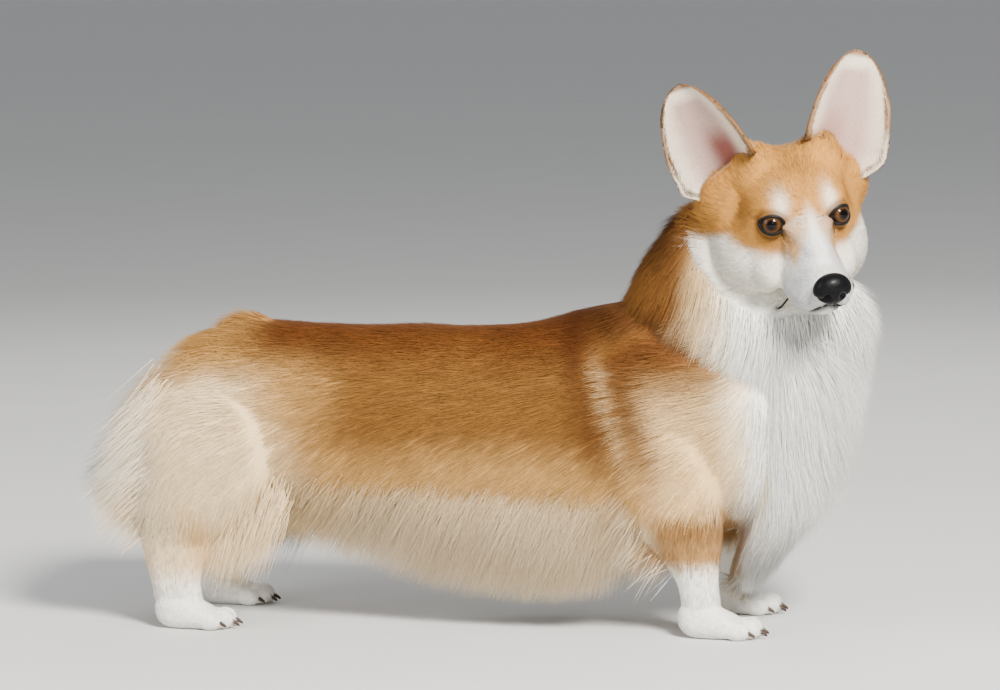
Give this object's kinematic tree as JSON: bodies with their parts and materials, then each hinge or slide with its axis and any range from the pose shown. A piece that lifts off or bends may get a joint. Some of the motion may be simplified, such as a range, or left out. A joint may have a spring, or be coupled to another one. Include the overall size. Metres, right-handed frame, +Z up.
{
  "type": "pembroke welsh corgi model",
  "caption": "Life-size still model of a small long-bodied herding dog standing square on short legs, with its head turned to its right.",
  "frame": {"origin": "the middle of the whole dog's box, on the floor that its paws stand on", "axes": "+X ahead of the dog, +Y to the dog's left, +Z up"},
  "size_m": [0.7709, 0.2575, 0.5364],
  "materials": {
    "red_coat": "soft straight hair, red fading to cream",
    "white_coat": "soft short hair, white",
    "ear": "thin skin with fine hair, pink inside and red outside",
    "nose": "moist pebbled skin, black",
    "eye": "wet, amber brown round a black pupil",
    "claw": "horn, dark"
  },
  "bodies": {
    "root": {"barrel": "red_coat", "bib": "white_coat", "chest": "red_coat", "claw_forepaw_left_1": "claw", "claw_forepaw_left_2": "claw", "claw_forepaw_left_3": "claw", "claw_forepaw_left_4": "claw", "claw_forepaw_right_1": "claw", "claw_forepaw_right_2": "claw", "claw_forepaw_right_3": "claw", "claw_forepaw_right_4": "claw", "claw_hind_paw_left_1": "claw", "claw_hind_paw_left_2": "claw", "claw_hind_paw_left_3": "claw", "claw_hind_paw_left_4": "claw", "claw_hind_paw_right_1": "claw", "claw_hind_paw_right_2": "claw", "claw_hind_paw_right_3": "claw", "claw_hind_paw_right_4": "claw", "ear_left": "ear", "ear_right": "ear", "eye_left": "eye", "eye_right": "eye", "foreleg_left": "red_coat", "foreleg_right": "red_coat", "forepaw_left": "white_coat", "forepaw_right": "white_coat", "head": "red_coat", "hind_leg_left": "red_coat", "hind_leg_right": "red_coat", "hind_paw_left": "white_coat", "hind_paw_right": "white_coat", "neck": "red_coat", "nose": "nose", "rump": "red_coat", "tail": "red_coat"}
  },
  "joints": []
}
